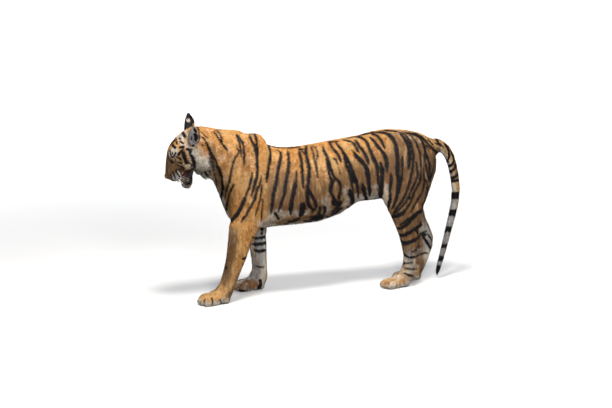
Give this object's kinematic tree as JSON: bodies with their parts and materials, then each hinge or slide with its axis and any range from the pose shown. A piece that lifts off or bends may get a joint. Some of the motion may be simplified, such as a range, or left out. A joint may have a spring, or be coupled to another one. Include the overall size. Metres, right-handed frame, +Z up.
{
  "type": "tiger",
  "caption": "Life-size still model of a lean adult tiger standing with its head low, mouth a little open and tail hanging.",
  "frame": {"origin": "middle of the bounding box on the floor, at the level of the soles", "axes": "+X towards the tail, the head faces -X; +Y towards the animal's right side; +Z up"},
  "size_m": [1.6942, 0.3654, 0.9851],
  "materials": {
    "striped_coat": "matte",
    "pale_coat": "matte",
    "black_coat": "matte",
    "nose_leather": "satin",
    "tongue": "satin",
    "eye": "gloss",
    "tooth": "gloss",
    "claw": "satin"
  },
  "bodies": {
    "root": {"head": "striped_coat", "neck": "striped_coat", "chest": "striped_coat", "belly": "striped_coat", "hips": "striped_coat", "jaw": "pale_coat", "nose": "nose_leather", "tongue": "tongue", "eye_left": "eye", "ear_left": "black_coat", "canine_upper_left": "tooth", "canine_lower_left": "tooth", "eye_right": "eye", "ear_right": "black_coat", "canine_upper_right": "tooth", "canine_lower_right": "tooth", "tail_1": "striped_coat", "tail_2": "striped_coat", "tail_3": "pale_coat", "fore_left_upper": "striped_coat", "fore_left_lower": "striped_coat", "fore_left_foot": "striped_coat", "fore_left_claw_1": "claw", "fore_left_claw_2": "claw", "fore_left_claw_3": "claw", "fore_left_claw_4": "claw", "fore_right_upper": "striped_coat", "fore_right_lower": "striped_coat", "fore_right_foot": "striped_coat", "fore_right_claw_1": "claw", "fore_right_claw_2": "claw", "fore_right_claw_3": "claw", "fore_right_claw_4": "claw", "hind_left_upper": "striped_coat", "hind_left_lower": "striped_coat", "hind_left_foot": "striped_coat", "hind_left_claw_1": "claw", "hind_left_claw_2": "claw", "hind_left_claw_3": "claw", "hind_left_claw_4": "claw", "hind_right_upper": "striped_coat", "hind_right_lower": "striped_coat", "hind_right_foot": "striped_coat", "hind_right_claw_1": "claw", "hind_right_claw_2": "claw", "hind_right_claw_3": "claw", "hind_right_claw_4": "claw"}
  },
  "joints": []
}
